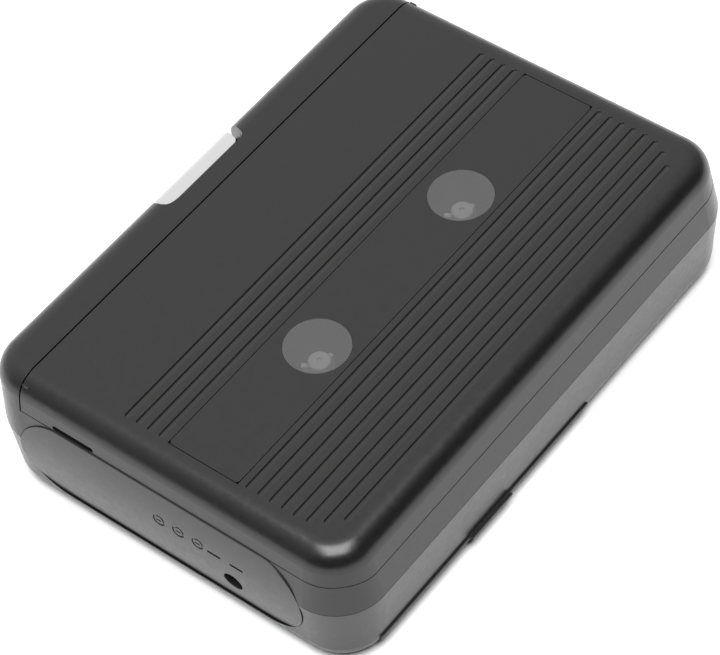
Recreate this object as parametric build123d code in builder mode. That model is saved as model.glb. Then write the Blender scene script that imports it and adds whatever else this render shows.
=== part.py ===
from build123d import *
import math
import os

os.makedirs("parts", exist_ok=True)

# case envelope
LENGTH = 119.2
WIDTH = 83.6
HEIGHT = 29.5
GIRTH_Z = 16.0
CORNER_R = 10.0
UPPER_DRAFT = 9.5
KEY_SIDE_DRAFT = 0.5
LOWER_DRAFT = 4.5
TOP_ROUND = 4.6
BASE_ROUND = 4.5
WALL = 1.6

# lid and hinge
LID_EDGE_Y = 32.0
LID_PART_Z = 22.8
HINGE_Y = -37.6
HINGE_Z = 15.0
HINGE_PIN_R = 0.8
ARM_X = (50.8, 52.2)
SEAM = 0.2
EDGE_SEAM = 0.32
PARTING_GROOVE = (0.15, 0.35)

# cassette deck
HUB_SPACING = 42.5
HUB_Y = -6.4
DECK_Z = 16.8
SPINDLE_TOP = 25.6
WINDOW_R = 6.25
LABEL_X = 52.4
LABEL_Y = (-13.66, 1.68)
LABEL_DEPTH = 0.7

# lid ribbing
GROOVE_PITCH = 2.575
GROOVE_WIDTH = 1.1
GROOVE_TILT = 12.0
GROOVE_MID_DEPTH = 0.12
UPPER_GROOVES_Y = 11.96
LOWER_GROOVES_Y = -15.16

# end panel
PANEL_Y = (-31.2, 33.0)
PANEL_Z = (3.5, 22.6)
PANEL_SEAT_X = 58.0
PANEL_BULGE_R = 41.0
PANEL_CROWN_X = 59.6
JACK_Y = -15.6
JACK_Z = 10.0
DC_HOLE_R = 1.9

# release slide
SLIDE_X = (-11.1, 9.0)
SLIDE_INNER_Y = 36.5
SLIDE_FLOOR_Z = 23.2
SLIDE_GAP = 0.15
SLIDE_END_LEAN = 0.364
RECESS_END_X = 10.9

# mechanism
CHASSIS_Z = (13.9, 14.9)
CAPSTAN = (27.6, 22.3)
MOTOR = (-2.0, 24.0)
IDLER = (24.97, 10.4)
FLYWHEEL_R = 15.0
BELT_Z = 3.15
BELT = 0.8
FLYWHEEL_GROOVE_R = 14.3
PULLEY_GROOVE_R = 2.3
ROLLER_Z = (9.0, 11.0)
TAKEUP_ROLLER_R = 8.0
IDLER_R = 8.9
CAPSTAN_ROLLER_R = 3.0
PINCH = (27.6, 28.6)
CARRIAGE_TRAVEL = 2.0

# keys
KEY_X = (-46.9, -36.1, -25.3, -14.5)
KEY_NAMES = ("rewind_key", "forward_key", "stop_key", "play_key")
KEY_WIDTH = 10.0
KEY_Z = (17.2, 21.6)
KEY_FACE_Y = 41.8
KEY_STRIP_Y = 41.0

# battery bay
DOOR_X = (-51.0, 11.0)
DOOR_Y = -10.4
DOOR_LIP_Z = 4.2
CELL_Y = (-32.0, -17.4)
CELL_Z = 8.55

# fasteners
CASE_SCREWS = ((-51, 31.5), (51, 31.5), (45, -33.5), (16, -33))
CHASSIS_SCREWS = ((-50, -5), (-50, 26), (50, -5), (50, 26))
VOLUME = (38.0, 34.7)


def save(piece, name):
    piece.part.label = name
    export_step(piece.part, f"parts/{name}.step")


def slab(x, y, z, mode=Mode.ADD):
    with Locations(((x[0] + x[1]) / 2, (y[0] + y[1]) / 2, (z[0] + z[1]) / 2)):
        Box(x[1] - x[0], y[1] - y[0], z[1] - z[0], mode=mode)


def rod(at, z, radius, mode=Mode.ADD):
    with Locations((at[0], at[1], (z[0] + z[1]) / 2)):
        Cylinder(radius, z[1] - z[0], mode=mode)


def rod_x(y, z, x, radius, mode=Mode.ADD):
    with Locations(((x[0] + x[1]) / 2, y, z)):
        Cylinder(radius, x[1] - x[0], rotation=(0, 90, 0), mode=mode)


def rod_y(x, z, y, radius, mode=Mode.ADD):
    with Locations((x, (y[0] + y[1]) / 2, z)):
        Cylinder(radius, y[1] - y[0], rotation=(90, 0, 0), mode=mode)


def envelope(inset, top_round, base_round):
    long, wide = LENGTH - 2 * inset, WIDTH - 2 * inset
    rise = HEIGHT - inset - GIRTH_Z
    lean = rise * math.tan(math.radians(UPPER_DRAFT))
    key_lean = rise * math.tan(math.radians(KEY_SIDE_DRAFT))
    with BuildPart() as body:
        with BuildSketch(Plane.XY.offset(GIRTH_Z)):
            RectangleRounded(long, wide, CORNER_R - inset)
        with BuildSketch(Plane.XY.offset(HEIGHT - inset)):
            with Locations((0, (lean - key_lean) / 2)):
                RectangleRounded(long - 2 * lean, wide - lean - key_lean, CORNER_R - inset - lean)
        loft(ruled=True)
        fillet(body.faces().sort_by(Axis.Z)[-1].edges(), top_round)
        with BuildSketch(Plane.XY.offset(GIRTH_Z)):
            RectangleRounded(long, wide, CORNER_R - inset)
        extrude(amount=inset - GIRTH_Z, taper=LOWER_DRAFT)
        fillet(body.faces().sort_by(Axis.Z)[0].edges(), base_round)
    return body.part


def lid_zone(grow, edge_y):
    radius = LID_PART_Z - HINGE_Z - grow
    reach = math.radians(130)
    left = (HINGE_Y + radius * math.cos(reach), HINGE_Z + radius * math.sin(reach))
    with BuildPart() as zone:
        with BuildSketch(Plane.YZ):
            with BuildLine():
                CenterArc((HINGE_Y, HINGE_Z), radius, 90, 40)
                Polyline(left, (-60, left[1]), (-60, 40), (edge_y, 40),
                         (edge_y, LID_PART_Z - grow), (HINGE_Y, LID_PART_Z - grow))
            make_face()
        extrude(amount=70, both=True)
    return zone.part


def panel_prism(grow, x_inner, x_outer):
    mid_y, mid_z = sum(PANEL_Y) / 2, sum(PANEL_Z) / 2
    tall = PANEL_Z[1] - PANEL_Z[0] + 2 * grow
    with BuildPart() as prism:
        with BuildSketch(Plane.YZ.offset(-x_outer)):
            with Locations((mid_y, mid_z)):
                SlotOverall(PANEL_Y[1] - PANEL_Y[0] + 2 * grow, tall)
        extrude(amount=x_outer - x_inner)
    return prism.part


def slide_plan(grow, far_x, corner):
    inner_y = SLIDE_INNER_Y - grow
    near = (SLIDE_X[0] - grow, 38.8)
    dip = (SLIDE_X[0] + 5.2, inner_y)
    far = (far_x, inner_y)
    tail = (far_x + (46 - inner_y) * SLIDE_END_LEAN, 46)
    with BuildSketch(Plane.XY.offset(SLIDE_FLOOR_Z)) as plan:
        with BuildLine():
            Spline(near, dip, tangents=((0, -1), (1, 0)))
            Polyline(dip, far, tail, (near[0], 46), near)
        make_face()
        fillet(plan.vertices().filter_by(lambda v: abs(v.X - far_x) < 0.01 and v.Y < 40), corner)
    return plan.sketch


outer = envelope(0, TOP_ROUND, BASE_ROUND)
cavity = envelope(WALL, 3.0, 3.0)
SPINDLES = ((-HUB_SPACING / 2, HUB_Y), (HUB_SPACING / 2, HUB_Y))

with BuildPart() as parting_ring:
    with BuildSketch(Plane.XY.offset(GIRTH_Z - PARTING_GROOVE[0])):
        Rectangle(LENGTH + 2, WIDTH + 2)
        RectangleRounded(LENGTH - 2 * PARTING_GROOVE[1], WIDTH - 2 * PARTING_GROOVE[1],
                         CORNER_R - PARTING_GROOVE[1], mode=Mode.SUBTRACT)
    extrude(amount=PARTING_GROOVE[0])

# back case
with BuildPart() as back_case:
    add(outer)
    slab((-70, 70), (-60, 60), (GIRTH_Z, 40), Mode.SUBTRACT)
    add(parting_ring.part, mode=Mode.SUBTRACT)
    add(cavity, mode=Mode.SUBTRACT)
    slab((-49.8, 12.6), (-10.0, -9.2), (1.5, 13.7))
    slab((-49.8, -48.8), (-39.0, -9.2), (1.5, 13.0))
    slab((11.6, 12.6), (-39.0, -9.2), (1.5, 13.0))
    slab((-57.0, -51.6), (-18.6, -12.6), (1.5, 6.6))
    slab((47.0, 57.0), (-27.0, -21.0), (1.5, 6.4))
    slab((34.0, 42.0), (37.8, 40.2), (5.2, 6.2))
    for spot in CASE_SCREWS:
        rod(spot, (1.5, 15.9), 2.6)
    for spot in CHASSIS_SCREWS:
        rod(spot, (1.5, CHASSIS_Z[0]), 2.2)
        rod(spot, (8.0, CHASSIS_Z[0]), 0.9, Mode.SUBTRACT)
    for spot in ((-44.5, -5.5), (-44.5, 29), (-16.5, -5.5), (-16.5, 29)):
        rod(spot, (1.5, 6.2), 1.5)
    with Locations(*[Pos(x, y, 0) * Rot(180, 0, 0) for x, y in CASE_SCREWS]):
        CounterSinkHole(1.1, 2.2, depth=20)
    add(panel_prism(0.1, PANEL_SEAT_X, 70), mode=Mode.SUBTRACT)
    slab(DOOR_X, (-50, DOOR_Y), (-1, DOOR_LIP_Z), Mode.SUBTRACT)
    rod_x(JACK_Y, JACK_Z, (-60, -56), 2.4, Mode.SUBTRACT)
    rod_x(-24.0, JACK_Z, (56, 61), 3.1, Mode.SUBTRACT)
    slab((VOLUME[0] - 5.6, VOLUME[0] + 5.6), (38.5, 45), (9.9, 12.5), Mode.SUBTRACT)
save(back_case, "back_case")

# middle case with cassette well and key strip
with BuildPart() as middle_case:
    add(outer)
    slab((-70, 70), (-60, 60), (-1, GIRTH_Z), Mode.SUBTRACT)
    add(lid_zone(SEAM, LID_EDGE_Y + EDGE_SEAM), mode=Mode.SUBTRACT)
    add(cavity, mode=Mode.SUBTRACT)
    slab((-57.0, 57.0), (LID_EDGE_Y + EDGE_SEAM, 33.8), (GIRTH_Z, 28.2))
    slab((-58.0, 58.0), (-40.0, 10.6), (GIRTH_Z, DECK_Z))
    slab((-12.6, 14.4), (35.35, 40.4), (22.3, 28.2))
    slab((14.0, 14.8), (33.8, 36.4), (23.5, 26.0))
    add(outer, mode=Mode.INTERSECT)
    for spot in SPINDLES:
        rod(spot, (15, 18), 6.0, Mode.SUBTRACT)
    for side in (-1, 1):
        inner_x = sorted((side * 49.3, side * 50.5))
        outer_x = sorted((side * 52.5, side * 53.3))
        slab(inner_x, (HINGE_Y - 1.4, HINGE_Y + 1.6), (HINGE_Z, DECK_Z))
        slab(outer_x, (HINGE_Y - 1.4, HINGE_Y + 1.6), (HINGE_Z, DECK_Z))
        rod_x(HINGE_Y, HINGE_Z, inner_x, 1.4)
        rod_x(HINGE_Y, HINGE_Z, outer_x, 1.4)
        slab(sorted((side * 50.5, side * 52.5)), (-39.8, -26.6), (15, 18), Mode.SUBTRACT)
        rod_x(HINGE_Y, HINGE_Z, sorted((side * 49, side * 54)), HINGE_PIN_R + 0.02, Mode.SUBTRACT)
    slab((-9.0, 36.0), (31.0, 34.0), (15, 26.2), Mode.SUBTRACT)
    slab((14.4, 21.2), (31.0, 34.0), (24.0, 27.7), Mode.SUBTRACT)
    slab((-53.5, -8.5), (KEY_STRIP_Y, 46), (16.4, 22.6), Mode.SUBTRACT)
    for x in KEY_X:
        slab((x - 5.2, x + 5.2), (38, 46), (KEY_Z[0] - 0.2, KEY_Z[1] + 0.2), Mode.SUBTRACT)
    extrude(slide_plan(SLIDE_GAP, RECESS_END_X, 1.8), amount=8, mode=Mode.SUBTRACT)
    slab((-3.3, 6.6), (34.0, 38.0), (24.0, 26.4), Mode.SUBTRACT)
    slab((6.5, 14.0), (34.0, 35.75), (24.3, 25.9), Mode.SUBTRACT)
    add(panel_prism(0.1, PANEL_SEAT_X, 70), mode=Mode.SUBTRACT)
    for spot in CASE_SCREWS:
        rod(spot, (GIRTH_Z, DECK_Z + 1.6), 2.4)
        rod(spot, (GIRTH_Z - 1, DECK_Z + 1.2), 0.9, Mode.SUBTRACT)
save(middle_case, "middle_case")

# oval end panel, generic polarity marks sunk into its face
with BuildPart() as end_panel:
    add(panel_prism(0, PANEL_SEAT_X, 61))
    with Locations((PANEL_BULGE_R - PANEL_CROWN_X, 0, 14.3)):
        Cylinder(PANEL_BULGE_R, 90, rotation=(90, 0, 0), mode=Mode.INTERSECT)
    rod_x(JACK_Y, JACK_Z, (-61, -57), DC_HOLE_R + 0.15, Mode.SUBTRACT)
    for y in (0.2, -4.2, -8.6):
        with BuildSketch(Plane.YZ.offset(-61)):
            with Locations((y, 16.0)):
                Circle(1.35)
                Circle(0.95, mode=Mode.SUBTRACT)
                Rectangle(1.1, 0.35)
        extrude(amount=1.6, mode=Mode.SUBTRACT)
    for y in (-12.2, -17.2):
        with BuildSketch(Plane.YZ.offset(-61)):
            with Locations((y, 15.6)):
                SlotOverall(3.0, 0.6)
        extrude(amount=1.7, mode=Mode.SUBTRACT)
save(end_panel, "end_panel")

# battery door with its finger catch
with BuildPart() as catch_blank:
    add(outer.moved(Location((0, -0.9, 0))))
    slab((-25.0, -13.2), (-50, -34), (-1, DOOR_LIP_Z - 0.4), Mode.INTERSECT)

with BuildPart() as battery_door:
    add(outer.moved(Location((0, -0.35, 0))))
    slab((DOOR_X[0] + 0.15, DOOR_X[1] - 0.15), (-50, DOOR_Y - 0.15), (-1, DOOR_LIP_Z - 0.15), Mode.INTERSECT)
    add(catch_blank.part)
    slab((-60, 20), (-39.4, 0), (1.2, 6), Mode.SUBTRACT)
    for x in (-38, -2):
        slab((x - 4, x + 4), (-12.4, DOOR_Y - 0.15), (1.2, 2.6))
        slab((x - 4, x + 4), (DOOR_Y - 0.15, DOOR_Y + 0.3), (1.75, 2.6))
save(battery_door, "battery_door")

# lid group
with BuildPart() as lid_shell:
    add(outer)
    add(lid_zone(0, LID_EDGE_Y), mode=Mode.INTERSECT)
    add(cavity, mode=Mode.SUBTRACT)
    slab((-56.8, 56.8), (LID_EDGE_Y - 1.4, LID_EDGE_Y), (26.8, 28.4))
    slab((11.0, 14.0), (LID_EDGE_Y - 1.4, LID_EDGE_Y - 0.2), (24.8, 27.0))
    slab((-LABEL_X - 0.15, LABEL_X + 0.15), (LABEL_Y[0] - 0.15, LABEL_Y[1] + 0.15),
         (HEIGHT - LABEL_DEPTH, HEIGHT + 1), Mode.SUBTRACT)
    for spot in SPINDLES:
        rod(spot, (25, 31), WINDOW_R, Mode.SUBTRACT)
    for i in range(12):
        upper = i < 4
        y = UPPER_GROOVES_Y - i * GROOVE_PITCH if upper else LOWER_GROOVES_Y - (i - 4) * GROOVE_PITCH
        half = LABEL_X if i < 9 else LABEL_X - (0.3, 1.8, 4.2)[i - 9]
        lean = math.tan(math.radians(GROOVE_TILT))
        tilted = Plane(origin=(0, y - GROOVE_WIDTH / 2, HEIGHT - GROOVE_MID_DEPTH), x_dir=(1, 0, 0), z_dir=(0, lean, 1))
        with BuildSketch(tilted):
            SlotOverall(2 * half, GROOVE_WIDTH)
        extrude(amount=1.2, mode=Mode.SUBTRACT)
    with BuildSketch(Plane.YZ.offset(-61)):
        with Locations((19.8, 23.35)):
            SlotOverall(9.4, 1.0)
    extrude(amount=3.2, mode=Mode.SUBTRACT)
save(lid_shell, "lid_shell")

with BuildPart() as label_plate:
    slab((-LABEL_X, LABEL_X), LABEL_Y, (HEIGHT - LABEL_DEPTH, HEIGHT))
    fillet(label_plate.edges().filter_by(Axis.Z), 0.8)
    for spot in SPINDLES:
        rod(spot, (25, 31), WINDOW_R, Mode.SUBTRACT)
save(label_plate, "label_plate")

with BuildPart() as lid_windows:
    for spot in SPINDLES:
        rod(spot, (27.9, HEIGHT), WINDOW_R - 0.05)
save(lid_windows, "lid_windows")

with BuildPart() as cassette_holder:
    slab((-53.0, 53.0), (-33.0, 9.5), (26.9, 27.8))
    for spot in SPINDLES:
        rod(spot, (25, 31), 8.0, Mode.SUBTRACT)
    for side in (-1, 1):
        arm = sorted((side * ARM_X[0], side * ARM_X[1]))
        slab(arm, (HINGE_Y, -27.0), (HINGE_Z - 1.2, HINGE_Z + 1.2))
        rod_x(HINGE_Y, HINGE_Z, arm, 1.5)
        slab(arm, (-29.3, -27.0), (HINGE_Z - 1.2, 27.2))
        slab(arm, (-29.3, 9.0), (23.0, 27.2))
        rod_x(HINGE_Y, HINGE_Z, arm, HINGE_PIN_R + 0.05, Mode.SUBTRACT)
save(cassette_holder, "cassette_holder")

with BuildPart() as cassette_springs:
    for x in (-36.0, 36.0):
        slab((x - 4, x + 4), (-18, -14), (26.5, 26.9))
        slab((x - 3, x + 3), (-14.2, 0), (26.1, 26.5))
        slab((x - 3, x + 3), (-14.4, -13.8), (26.1, 26.9))
save(cassette_springs, "cassette_springs")

with BuildPart() as hinge_pins:
    for side in (-1, 1):
        rod_x(HINGE_Y, HINGE_Z, sorted((side * 49.3, side * 53.3)), HINGE_PIN_R)
save(hinge_pins, "hinge_pins")

# release slide
with BuildPart() as slide_blank:
    extrude(slide_plan(0, SLIDE_X[1], 1.2), amount=8)
    slab((-12, 14), (30, 50), (SLIDE_FLOOR_Z + 0.2, 31), Mode.INTERSECT)

with BuildPart() as release_slide:
    add(outer)
    add(slide_blank.part, mode=Mode.INTERSECT)
    slab((-2.0, 4.0), (35.9, 38.2), (24.2, 25.8))
    slab((-3.0, 5.0), (34.1, 36.0), (24.2, 26.2))
    rod_x(35.05, 25.1, (-1.9, 5.1), 0.75, Mode.SUBTRACT)
    slab((-3.0, 18.0), (34.1, 35.05), (26.2, 27.4))
    slab((15.0, 18.0), (34.1, 36.0), (24.4, 27.4))
    slab((15.0, 18.0), (31.0, 36.0), (24.4, 26.0))
save(release_slide, "release_slide")


def coil(name, starts, length, radius, wire, turns, axis):
    with BuildPart() as spring:
        for start in starts:
            with BuildLine() as path:
                Helix(length / turns, length, radius, center=start, direction=axis)
            with BuildSketch(Plane(origin=path.line @ 0, z_dir=path.line % 0)):
                Circle(wire)
            sweep(path=path.line)
    save(spring, name)


coil("slide_spring", [(-0.4, 35.05, 25.1)], 14.2, 0.5, 0.12, 10, (1, 0, 0))

# metal chassis
with BuildPart() as chassis:
    with BuildSketch(Plane.XY.offset(CHASSIS_Z[0])):
        with Locations((0, 12.75)):
            RectangleRounded(109.0, 48.5, 2.0)
        with Locations((-51.5, 33.45), (51.5, 33.45)):
            Rectangle(9.0, 10.1, mode=Mode.SUBTRACT)
        with Locations((13.5, 31.4)):
            RectangleRounded(45.0, 9.6, 1.0, mode=Mode.SUBTRACT)
        with Locations((PINCH[0], 26.5)):
            Rectangle(8.2, 2.0, mode=Mode.SUBTRACT)
        with Locations(*SPINDLES, CAPSTAN):
            Circle(2.42, mode=Mode.SUBTRACT)
        with Locations(*CHASSIS_SCREWS):
            Circle(1.1, mode=Mode.SUBTRACT)
        with Locations((-34, 14), (-34, 24), (42, 4)):
            SlotOverall(14, 4, mode=Mode.SUBTRACT)
    extrude(amount=CHASSIS_Z[1] - CHASSIS_Z[0])
save(chassis, "chassis")

with BuildPart() as spindle_bushes:
    for spot in SPINDLES:
        rod(spot, (13.1, 14.9), 2.4)
        rod(spot, (13.0, 15.0), 1.55, Mode.SUBTRACT)
save(spindle_bushes, "spindle_bushes")

with BuildPart() as capstan_bearing:
    rod(CAPSTAN, (11.5, 16.4), 2.4)
    rod(CAPSTAN, (11.4, 16.5), 1.05, Mode.SUBTRACT)
save(capstan_bearing, "capstan_bearing")


def spindle(name, spot, roller):
    with BuildPart() as reel:
        rod(spot, (12.2, 17.0), 1.5)
        rod(spot, (15.1, 16.4), 5.0)
        rod(spot, (16.4, SPINDLE_TOP), 2.1)
        fillet(reel.faces().sort_by(Axis.Z)[-1].edges(), 0.4)
        rod(spot, (SPINDLE_TOP - 0.5, 26), 0.5, Mode.SUBTRACT)
        with Locations((spot[0], spot[1], 20.6)):
            with PolarLocations(2.4, 3):
                Box(2.0, 0.9, 6.4)
        rod(spot, (12.2, 12.9), 2.4)
        if roller:
            rod(spot, (11.0, 12.3), 1.5)
            rod(spot, ROLLER_Z, TAKEUP_ROLLER_R)
    save(reel, name)


spindle("supply_spindle", SPINDLES[0], False)
spindle("takeup_spindle", SPINDLES[1], True)

# drive train
with BuildPart() as capstan_shaft:
    rod(CAPSTAN, (2.0, 26.0), 1.0)
    chamfer(capstan_shaft.edges().sort_by(Axis.Z)[-1], 0.2)
save(capstan_shaft, "capstan_shaft")

with BuildPart() as flywheel:
    rod(CAPSTAN, (2.1, 4.5), FLYWHEEL_R)
    rod(CAPSTAN, (4.5, 11.2), CAPSTAN_ROLLER_R)
    with BuildSketch(Plane.XY.offset(BELT_Z - BELT / 2 - 0.1)):
        with Locations(CAPSTAN):
            Circle(FLYWHEEL_R + 1)
            Circle(FLYWHEEL_GROOVE_R, mode=Mode.SUBTRACT)
    extrude(amount=BELT + 0.2, mode=Mode.SUBTRACT)
    rod(CAPSTAN, (3.4, 5.0), 12.0, Mode.SUBTRACT)
    rod(CAPSTAN, (2.1, 11.2), CAPSTAN_ROLLER_R)
    rod(CAPSTAN, (1.9, 12), 1.0, Mode.SUBTRACT)
save(flywheel, "flywheel")

with BuildPart() as motor_pulley:
    rod(MOTOR, (2.2, 4.1), 3.0)
    with BuildSketch(Plane.XY.offset(BELT_Z - BELT / 2 - 0.1)):
        with Locations(MOTOR):
            Circle(4)
            Circle(PULLEY_GROOVE_R, mode=Mode.SUBTRACT)
    extrude(amount=BELT + 0.2, mode=Mode.SUBTRACT)
    rod(MOTOR, (4.1, 7.0), 0.8)
save(motor_pulley, "motor_pulley")

with BuildPart() as drive_belt:
    with BuildSketch(Plane.XY.offset(BELT_Z - BELT / 2)):
        with Locations(CAPSTAN):
            Circle(FLYWHEEL_GROOVE_R + 0.05 + BELT)
        with Locations(MOTOR):
            Circle(PULLEY_GROOVE_R + 0.05 + BELT)
        make_hull()
    extrude(amount=BELT)
    with BuildSketch(Plane.XY.offset(BELT_Z - BELT / 2)):
        with Locations(CAPSTAN):
            Circle(FLYWHEEL_GROOVE_R + 0.05)
        with Locations(MOTOR):
            Circle(PULLEY_GROOVE_R + 0.05)
        make_hull()
    extrude(amount=BELT, mode=Mode.SUBTRACT)
save(drive_belt, "drive_belt")

with BuildPart() as motor_body:
    rod(MOTOR, (4.5, 12.3), 10.0)
    fillet(motor_body.edges(), 0.8)
    rod(MOTOR, (4, 7.4), 0.88, Mode.SUBTRACT)
    for angle in (150, 210, 270):
        ear = (MOTOR[0] + 11 * math.cos(math.radians(angle)), MOTOR[1] + 11 * math.sin(math.radians(angle)))
        rod(ear, (10.8, CHASSIS_Z[0]), 1.6)
save(motor_body, "motor_body")

with BuildPart() as idler_wheel:
    rod(IDLER, ROLLER_Z, IDLER_R)
    rod(IDLER, (8.6, 11.4), 2.2)
    rod(IDLER, (ROLLER_Z[0] - 0.1, ROLLER_Z[0] + 0.5), 7.0, Mode.SUBTRACT)
    rod(IDLER, (8.6, 11.4), 2.2)
    rod(IDLER, (8.5, 11.5), 1.05, Mode.SUBTRACT)
save(idler_wheel, "idler_wheel")

with BuildPart() as idler_axle:
    rod(IDLER, (8.2, CHASSIS_Z[0]), 1.0)
    rod(IDLER, (7.8, 8.4), 2.0)
save(idler_axle, "idler_axle")

# head carriage
with BuildPart() as head_plate:
    slab((-8.0, 35.0), (18.5, 34.0), (12.8, 13.7))
    slot_end = (CAPSTAN[0], CAPSTAN[1] + CARRIAGE_TRAVEL)
    rod(CAPSTAN, (12, 15), 3.0, Mode.SUBTRACT)
    rod(slot_end, (12, 15), 3.0, Mode.SUBTRACT)
    slab((CAPSTAN[0] - 3, CAPSTAN[0] + 3), (CAPSTAN[1], slot_end[1]), (12, 15), Mode.SUBTRACT)
    slab((-9.0, 9.0), (17, 26.5), (12, 15), Mode.SUBTRACT)
    slab((-7.8, 7.8), (29.2, 33.4), (13.7, 16.9))
    slab((24.0, 31.2), (28.0, 31.6), (13.7, 15.6))
    rod(PINCH, (13.7, 22.4), 0.8)
save(head_plate, "head_plate")

with BuildPart() as tape_head:
    slab((-6.0, 6.0), (28.6, 33.6), (16.9, 25.6))
    fillet(tape_head.edges().filter_by(Axis.Z).group_by(Axis.Y)[0], 2.0)
    slab((-1.0, 1.0), (28.3, 28.9), (18.5, 24.0))
save(tape_head, "tape_head")

with BuildPart() as tape_guides:
    for x in (-7.6, 7.6):
        slab((min(x, x * 0.81), max(x, x * 0.81)), (29.4, 33.0), (16.9, 19.2))
        slab((min(x, x * 0.81), max(x, x * 0.81)), (29.4, 33.0), (23.4, 25.2))
        slab((min(x, x * 0.81), max(x, x * 0.81)), (30.6, 33.0), (16.9, 25.2))
save(tape_guides, "tape_guides")

with BuildPart() as pinch_roller:
    rod(PINCH, (16.6, 22.0), 3.2)
    rod(PINCH, (16, 23), 0.85, Mode.SUBTRACT)
save(pinch_roller, "pinch_roller")

with BuildPart() as pinch_cap:
    rod(PINCH, (22.4, 22.9), 1.5)
save(pinch_cap, "pinch_cap")

# transport keys
for x, name in zip(KEY_X, KEY_NAMES):
    with BuildPart() as key:
        slab((x - KEY_WIDTH / 2, x + KEY_WIDTH / 2), (36.6, KEY_FACE_Y), KEY_Z)
        fillet(key.faces().sort_by(Axis.Y)[-1].edges(), 0.7)
        slab((x - 5.3, x + 5.3), (37.4, 38.3), (KEY_Z[0] - 0.5, KEY_Z[1] + 0.5))
        rod_y(x, 19.4, (36, 40.6), 1.5, Mode.SUBTRACT)
    save(key, name)

coil("key_springs", [(x, 33.95, 19.4) for x in KEY_X], 4.4, 1.0, 0.15, 4, (0, 1, 0))

# volume control
with BuildPart() as volume_wheel:
    rod(VOLUME, (10.2, 12.2), 7.0)
    with Locations((VOLUME[0], VOLUME[1], 11.2)):
        with PolarLocations(7.05, 30):
            Cylinder(0.22, 3, mode=Mode.SUBTRACT)
    rod(VOLUME, (10, 13), 1.05, Mode.SUBTRACT)
save(volume_wheel, "volume_wheel")

with BuildPart() as volume_pot:
    slab((34.2, 41.8), (31.3, 39.2), (6.2, 9.7))
    rod(VOLUME, (9.7, 12.4), 1.0)
save(volume_pot, "volume_pot")

# electronics
with BuildPart() as circuit_board:
    slab((-46.5, -14.5), (-7.5, 31.0), (6.2, 7.4))
    for spot in ((-50, -5), (-50, 26)):
        rod(spot, (6, 8), 4.4, Mode.SUBTRACT)
save(circuit_board, "circuit_board")

with BuildPart() as amplifier_chip:
    slab((-38.0, -28.0), (8.0, 14.2), (7.7, 9.4))
    for i in range(8):
        slab((-37.2 + i * 1.2, -36.8 + i * 1.2), (6.8, 15.4), (7.4, 8.0))
save(amplifier_chip, "amplifier_chip")

with BuildPart() as capacitors:
    for spot in ((-40, -2), (-33, -2), (-24, 22), (-22, 4)):
        rod(spot, (7.4, 12.6), 2.4)
save(capacitors, "capacitors")

with BuildPart() as dc_jack:
    slab((-57.2, -51.6), (-18.8, -12.4), (6.6, 13.4))
    rod_x(JACK_Y, JACK_Z, (-58, -52.4), DC_HOLE_R, Mode.SUBTRACT)
save(dc_jack, "dc_jack")

with BuildPart() as headphone_jack:
    slab((46.0, 57.2), (-27.4, -20.6), (6.4, 13.6))
    rod_x(-24.0, JACK_Z, (57.0, 58.9), 2.9)
    rod_x(-24.0, JACK_Z, (46.8, 60), 1.8, Mode.SUBTRACT)
save(headphone_jack, "headphone_jack")

# battery contacts
coil("battery_springs", [(-48.0, y, CELL_Z) for y in CELL_Y], 6.0, 2.6, 0.35, 4, (1, 0, 0))

with BuildPart() as spring_plates:
    for y in CELL_Y:
        slab((-48.8, -48.4), (y - 5, y + 5), (3.6, 13.0))
save(spring_plates, "spring_plates")

with BuildPart() as battery_contacts:
    for y in CELL_Y:
        slab((11.2, 11.6), (y - 5, y + 5), (3.6, 13.0))
        rod_x(y, CELL_Z, (10.4, 11.3), 2.0)
save(battery_contacts, "battery_contacts")

# fasteners
with BuildPart() as case_screws:
    for spot in CASE_SCREWS:
        rod(spot, (0.9, DECK_Z + 1.0), 0.85)
        with Locations((spot[0], spot[1], 0.6)):
            Cone(2.0, 1.0, 1.0)
        rod(spot, (-0.1, 0.6), 0.5, Mode.SUBTRACT)
save(case_screws, "case_screws")

with BuildPart() as chassis_screws:
    for spot in CHASSIS_SCREWS:
        rod(spot, (CHASSIS_Z[1], CHASSIS_Z[1] + 0.9), 1.9)
        rod(spot, (9.0, CHASSIS_Z[1]), 0.85)
        with Locations((spot[0], spot[1], CHASSIS_Z[1] + 0.8)):
            Box(2.4, 0.5, 0.6, mode=Mode.SUBTRACT)
            Box(0.5, 2.4, 0.6, mode=Mode.SUBTRACT)
save(chassis_screws, "chassis_screws")
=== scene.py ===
import math
import bpy
from mathutils import Matrix, Vector


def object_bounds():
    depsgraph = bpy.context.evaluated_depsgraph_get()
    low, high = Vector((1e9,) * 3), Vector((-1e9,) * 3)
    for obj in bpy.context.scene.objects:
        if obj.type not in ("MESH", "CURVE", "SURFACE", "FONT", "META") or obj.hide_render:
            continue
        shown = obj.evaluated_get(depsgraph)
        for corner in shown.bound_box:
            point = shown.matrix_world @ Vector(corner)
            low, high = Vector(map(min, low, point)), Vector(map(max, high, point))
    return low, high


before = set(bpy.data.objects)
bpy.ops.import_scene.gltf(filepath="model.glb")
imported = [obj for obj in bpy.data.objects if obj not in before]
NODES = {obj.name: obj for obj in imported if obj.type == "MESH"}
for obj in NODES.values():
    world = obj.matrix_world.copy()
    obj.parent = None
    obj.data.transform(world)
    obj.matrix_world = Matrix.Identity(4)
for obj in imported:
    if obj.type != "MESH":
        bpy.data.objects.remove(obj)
cad_low, cad_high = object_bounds()
MM = 0.001

# camera
CAMERA_AT = Vector((-260.4, -241.4, 441.5)) * MM
AZIMUTH = math.radians(-47.9)
ELEVATION = math.radians(50.7)
ROLL = math.radians(-6.24)
LENS = 151.2
SHIFT_X = -0.0494

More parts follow.
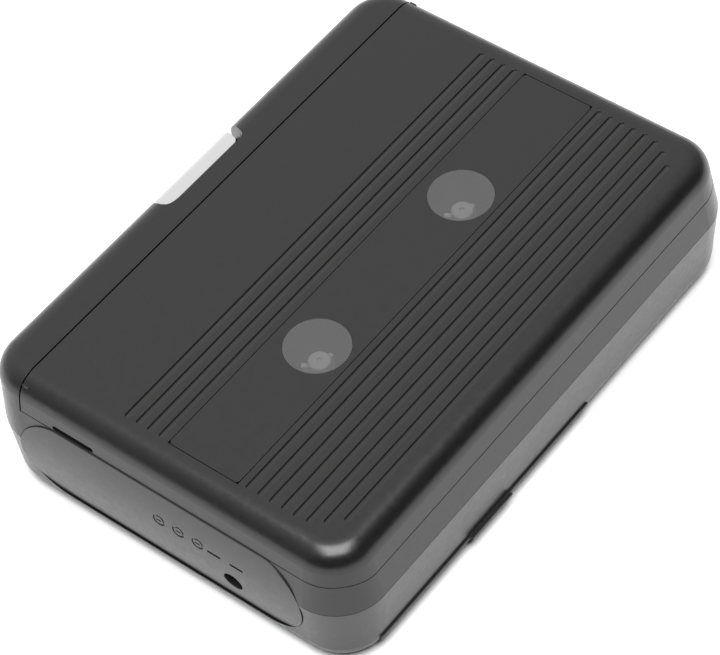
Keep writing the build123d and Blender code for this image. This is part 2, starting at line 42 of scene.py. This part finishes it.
# light
FLOOR_SIZE = 6.0
SKY_DARK = 0.02
SKY_BRIGHT = 1.12
SKY_SIDE = Vector((0.3, 0.8, 0.5)).normalized()
SEEN_SKY = 1.4
OVERHEAD_AT = (-0.25, -0.25, 1.5)
OVERHEAD_SIZE = 1.1
OVERHEAD_POWER = 40

# tones and grain
PALE = 0.93
CASE_BLACK = 0.006
WARM = (1.0, 0.99, 0.965)
IVORY = (1.0, 0.985, 0.93)
COOL = (0.98, 1.0, 1.02)
BRUSHED = (0.05, 1.0, 1.0)
TURNED = (1.0, 1.0, 0.05)
BEVEL_SAMPLES = 6
WINDOW_ALPHA = 0.7
TRACK_PITCH = 3.2 * MM
PAD_PITCH = 3.0 * MM
SOLDER_MASK = (0.015, 0.11, 0.045, 1)
COVERED_TRACK = (0.05, 0.22, 0.08, 1)
TINNED_PAD = (0.62, 0.62, 0.60, 1)


# node helpers

class Finish:
    """A procedural material, with its principled shader and its object coordinates."""

    def __init__(self, name):
        self.material = bpy.data.materials.new(name)
        self.material.use_nodes = True
        self.tree = self.material.node_tree
        self.shader = self.tree.nodes["Principled BSDF"]
        self.place = self.node("ShaderNodeTexCoord").outputs["Object"]

    def node(self, kind, **settings):
        made = self.tree.nodes.new(kind)
        for key, value in settings.items():
            setattr(made, key, value)
        return made

    def feed(self, socket, value):
        if isinstance(value, bpy.types.NodeSocket):
            self.tree.links.new(value, socket)
        else:
            socket.default_value = value

    def set(self, **values):
        for key, value in values.items():
            self.feed(self.shader.inputs[key.replace("_", " ")], value)

    def stretch(self, x, y, z):
        mapping = self.node("ShaderNodeMapping")
        self.feed(mapping.inputs["Vector"], self.place)
        mapping.inputs["Scale"].default_value = (x, y, z)
        return mapping.outputs["Vector"]

    def noise(self, size, detail=3.0, place=None):
        texture = self.node("ShaderNodeTexNoise")
        self.feed(texture.inputs["Vector"], place or self.place)
        texture.inputs["Scale"].default_value = 1 / size
        texture.inputs["Detail"].default_value = detail
        return texture.outputs["Fac"]

    def spread(self, value, low, high, start=0.3, end=0.7):
        remap = self.node("ShaderNodeMapRange")
        self.feed(remap.inputs["Value"], value)
        for key, number in (("From Min", start), ("From Max", end), ("To Min", low), ("To Max", high)):
            remap.inputs[key].default_value = number
        return remap.outputs["Result"]

    def blend(self, factor, first, second):
        mix = self.node("ShaderNodeMix", data_type="RGBA")
        self.feed(mix.inputs[0], factor)
        self.feed(mix.inputs[6], first)
        self.feed(mix.inputs[7], second)
        return mix.outputs[2]

    def times(self, first, second):
        product = self.node("ShaderNodeMath", operation="MULTIPLY")
        self.feed(product.inputs[0], first)
        self.feed(product.inputs[1], second)
        return product.outputs[0]

    def rounded(self, radius):
        bevel = self.node("ShaderNodeBevel", samples=BEVEL_SAMPLES)
        bevel.inputs["Radius"].default_value = radius
        return bevel.outputs["Normal"]

    def edges(self, rounded):
        facing = self.node("ShaderNodeVectorMath", operation="DOT_PRODUCT")
        self.feed(facing.inputs[0], rounded)
        self.feed(facing.inputs[1], self.node("ShaderNodeNewGeometry").outputs["Normal"])
        return self.spread(facing.outputs["Value"], 1.0, 0.0, 0.93, 0.995)

    def bump(self, height, depth, normal=None):
        bump = self.node("ShaderNodeBump")
        bump.inputs["Strength"].default_value = 1.0
        bump.inputs["Distance"].default_value = depth
        self.feed(bump.inputs["Height"], height)
        if normal is not None:
            self.feed(bump.inputs["Normal"], normal)
        return bump.outputs["Normal"]


def grey(value, tint=(1.0, 1.0, 1.0)):
    return (value * tint[0], value * tint[1], value * tint[2], 1.0)


def tone(colour, factor):
    return (colour[0] * factor, colour[1] * factor, colour[2] * factor, 1.0)


def moulded(name, colour, rough, grain=0.25 * MM, depth=0.004 * MM, edge=0.12 * MM, wear=1.5, spread=0.08,
            **more):
    """Moulded plastic: cloudy colour, fine spark texture, edges painted lighter as a highlight."""
    finish = Finish(name)
    cloud = finish.spread(finish.noise(9 * MM), 0.0, 1.0)
    body = finish.blend(cloud, tone(colour, 1 - spread), tone(colour, 1 + spread))
    soft = finish.rounded(edge)
    # painted highlight: the base colour is lightened along the bevelled edges, in noisy patches
    edge_highlight = finish.times(finish.edges(soft), finish.spread(finish.noise(2.5 * MM, 4.0), 0.15, 0.9))
    finish.set(Base_Color=finish.blend(edge_highlight, body, tone(colour, wear)))
    finish.set(Roughness=finish.spread(finish.noise(1.2 * MM, 4.0), rough - 0.03, rough + 0.04))
    finish.set(Normal=finish.bump(finish.noise(grain, 2.0), depth, soft), **more)
    return finish.material


def metal(name, colour, rough, along=(1.0, 1.0, 1.0), grain=0.15 * MM, depth=0.002 * MM, edge=0.08 * MM):
    """Bare metal: brushed or turned grain, dull patches, edges painted brighter as a highlight."""
    finish = Finish(name)
    stain = finish.spread(finish.noise(5 * MM, 4.0), 0.0, 1.0)
    soft = finish.rounded(edge)
    body = finish.blend(stain, tone(colour, 0.82), tone(colour, 1.05))
    # painted highlight: the base colour is lightened along the bevelled edges
    finish.set(Base_Color=finish.blend(finish.times(finish.edges(soft), 0.5), body, tone(colour, 1.2)))
    lines = finish.noise(grain, 3.0, finish.stretch(*along))
    finish.set(Roughness=finish.spread(lines, rough - 0.06, rough + 0.08))
    finish.set(Normal=finish.bump(lines, depth, soft), Metallic=1.0)
    return finish.material


def board():
    """Green solder mask over pale tracks, with round pads."""
    finish = Finish("circuit_laminate")
    cells = finish.node("ShaderNodeTexVoronoi", feature="DISTANCE_TO_EDGE")
    finish.feed(cells.inputs["Vector"], finish.stretch(1.0, 0.35, 1.0))
    cells.inputs["Scale"].default_value = 1 / TRACK_PITCH
    track = finish.spread(cells.outputs["Distance"], 1.0, 0.0, 0.05, 0.09)
    dots = finish.node("ShaderNodeTexVoronoi")
    finish.feed(dots.inputs["Vector"], finish.place)
    dots.inputs["Scale"].default_value = 1 / PAD_PITCH
    pad = finish.spread(dots.outputs["Distance"], 1.0, 0.0, 0.12, 0.16)
    mask = finish.blend(track, SOLDER_MASK, COVERED_TRACK)
    finish.set(Base_Color=finish.blend(pad, mask, TINNED_PAD), Roughness=0.32)
    finish.set(Normal=finish.bump(track, 0.03 * MM))
    return finish.material


def smoked():
    """Smoky clear plastic, faintly milky. Only its outer faces dim what is behind, so the hub shows."""
    finish = Finish("window_smoke")
    haze = finish.spread(finish.noise(4 * MM), 0.0, 1.0)
    behind = finish.node("ShaderNodeNewGeometry").outputs["Backfacing"]
    finish.set(Base_Color=finish.blend(haze, grey(0.078), grey(0.082)))
    finish.set(Alpha=finish.spread(behind, WINDOW_ALPHA, 0.0, 0.0, 1.0))
    finish.set(Roughness=finish.spread(finish.noise(0.8 * MM), 0.33, 0.37), IOR=1.6)
    finish.set(Normal=finish.bump(finish.noise(1.5 * MM), 0.002 * MM))
    return finish.material


def paint(material, *names):
    for name in names:
        slots = NODES[name].data.materials
        if not slots:
            slots.append(material)
        for i in range(len(slots)):
            NODES[name].material_slots[i].material = material


# finishes of the case
case_black = grey(CASE_BLACK, WARM)
smooth = {"depth": 0.002 * MM, "edge": 0.05 * MM, "spread": 0.02}
# the silver slide gets only a faint painted edge highlight
silver = {"grain": 0.08 * MM, "depth": 0.001 * MM, "wear": 1.05, "spread": 0.02, "Metallic": 0.15}
paint(moulded("case_plastic", case_black, 0.30, edge=0.05 * MM, spread=0.03),
      "back_case", "middle_case", "lid_shell")
paint(moulded("label_plastic", case_black, 0.31, grain=0.15 * MM, **smooth), "label_plate")
paint(moulded("panel_plastic", grey(0.020), 0.36, grain=0.12 * MM, **smooth), "end_panel")
paint(moulded("door_plastic", grey(CASE_BLACK), 0.50), "battery_door")
paint(smoked(), "lid_windows")
paint(moulded("silver_paint", grey(0.39), 0.34, **silver), "release_slide")
paint(moulded("key_plastic", grey(0.022), 0.36),
      "play_key", "stop_key", "forward_key", "rewind_key", "volume_wheel")

# finishes inside
# the pale plastics get only a faint painted edge highlight
pale_plastic = {"wear": 1.05, "spread": 0.03}
rubber = {"grain": 0.12 * MM, "depth": 0.006 * MM}
paint(moulded("spindle_nylon", grey(0.58), 0.38, **pale_plastic), "supply_spindle", "takeup_spindle")
paint(moulded("holder_plastic", grey(0.022), 0.46), "cassette_holder")
paint(moulded("socket_plastic", grey(0.014), 0.34),
      "dc_jack", "headphone_jack", "volume_pot", "amplifier_chip")
paint(moulded("acetal_white", grey(0.68, IVORY), 0.35, **pale_plastic), "tape_guides", "pinch_cap")
paint(moulded("belt_rubber", grey(0.014), 0.62, **rubber), "drive_belt", "pinch_roller", "idler_wheel")
paint(moulded("capacitor_sleeve", (0.020, 0.026, 0.085, 1), 0.28), "capacitors")
paint(board(), "circuit_board")
paint(metal("zinc_sheet", grey(0.58, COOL), 0.34, BRUSHED),
      "chassis", "head_plate", "spring_plates", "cassette_springs", "battery_contacts")
paint(metal("motor_can", grey(0.50, COOL), 0.30, TURNED), "motor_body")
paint(metal("ground_steel", grey(0.66), 0.16, TURNED), "capstan_shaft", "hinge_pins", "idler_axle")
paint(metal("spring_wire", grey(0.60), 0.24), "battery_springs", "key_springs", "slide_spring")
paint(metal("screw_steel", grey(0.24), 0.34), "case_screws", "chassis_screws")
paint(metal("sintered_bronze", (0.52, 0.34, 0.16, 1), 0.42), "capstan_bearing", "spindle_bushes")
paint(metal("turned_brass", (0.60, 0.44, 0.20, 1), 0.28, TURNED), "flywheel", "motor_pulley")
paint(metal("head_case", grey(0.70), 0.14), "tape_head")


# floor, light and camera

def floor():
    finish = Finish("floor_paper")
    finish.set(Base_Color=grey(PALE), Roughness=0.9, Normal=finish.bump(finish.noise(0.6 * MM), 0.01 * MM))
    half = FLOOR_SIZE / 2
    mesh = bpy.data.meshes.new("floor")
    corners = [(-half, -half, 0), (half, -half, 0), (half, half, 0), (-half, half, 0)]
    mesh.from_pydata([(x, y, cad_low.z) for x, y, z in corners], [], [(0, 1, 2, 3)])
    mesh.materials.append(finish.material)
    plane = bpy.data.objects.new("floor", mesh)
    bpy.context.scene.collection.objects.link(plane)


def sky():
    """A soft sky that brightens towards SKY_SIDE, and is pale where the lens sees past the floor."""
    world = bpy.data.worlds.new("studio")
    world.use_nodes = True
    bpy.context.scene.world = world
    nodes, links = world.node_tree.nodes, world.node_tree.links
    side = nodes.new("ShaderNodeVectorMath")
    side.operation = "DOT_PRODUCT"
    side.inputs[1].default_value = SKY_SIDE
    links.new(nodes.new("ShaderNodeTexCoord").outputs["Generated"], side.inputs[0])
    glow = nodes.new("ShaderNodeMapRange")
    for key, number in (("From Min", -0.1), ("From Max", 1.0), ("To Min", SKY_DARK), ("To Max", SKY_BRIGHT)):
        glow.inputs[key].default_value = number
    links.new(side.outputs["Value"], glow.inputs["Value"])
    seen = nodes.new("ShaderNodeMix")
    links.new(nodes.new("ShaderNodeLightPath").outputs["Is Camera Ray"], seen.inputs[0])
    links.new(glow.outputs["Result"], seen.inputs[2])
    seen.inputs[3].default_value = SEEN_SKY
    links.new(seen.outputs[0], nodes["Background"].inputs["Strength"])
    nodes["Background"].inputs["Color"].default_value = (1, 1, 1, 1)


def softbox(name, at, size, power):
    light = bpy.data.lights.new(name, "AREA")
    light.size = size
    light.energy = power
    lamp = bpy.data.objects.new(name, light)
    lamp.location = at
    lamp.rotation_euler = (-Vector(at)).to_track_quat("-Z", "Y").to_euler()
    bpy.context.scene.collection.objects.link(lamp)


def camera():
    data = bpy.data.cameras.new("camera")
    data.lens = LENS
    data.shift_x = SHIFT_X
    lens = bpy.data.objects.new("camera", data)
    turn = Matrix.Rotation(AZIMUTH, 4, "Z") @ Matrix.Rotation(math.pi / 2 - ELEVATION, 4, "X")
    lens.matrix_world = Matrix.Translation(CAMERA_AT) @ turn @ Matrix.Rotation(ROLL, 4, "Z")
    bpy.context.scene.collection.objects.link(lens)
    bpy.context.scene.camera = lens


floor()
sky()
softbox("overhead", OVERHEAD_AT, OVERHEAD_SIZE, OVERHEAD_POWER)
camera()
bpy.context.scene.view_settings.view_transform = "Standard"
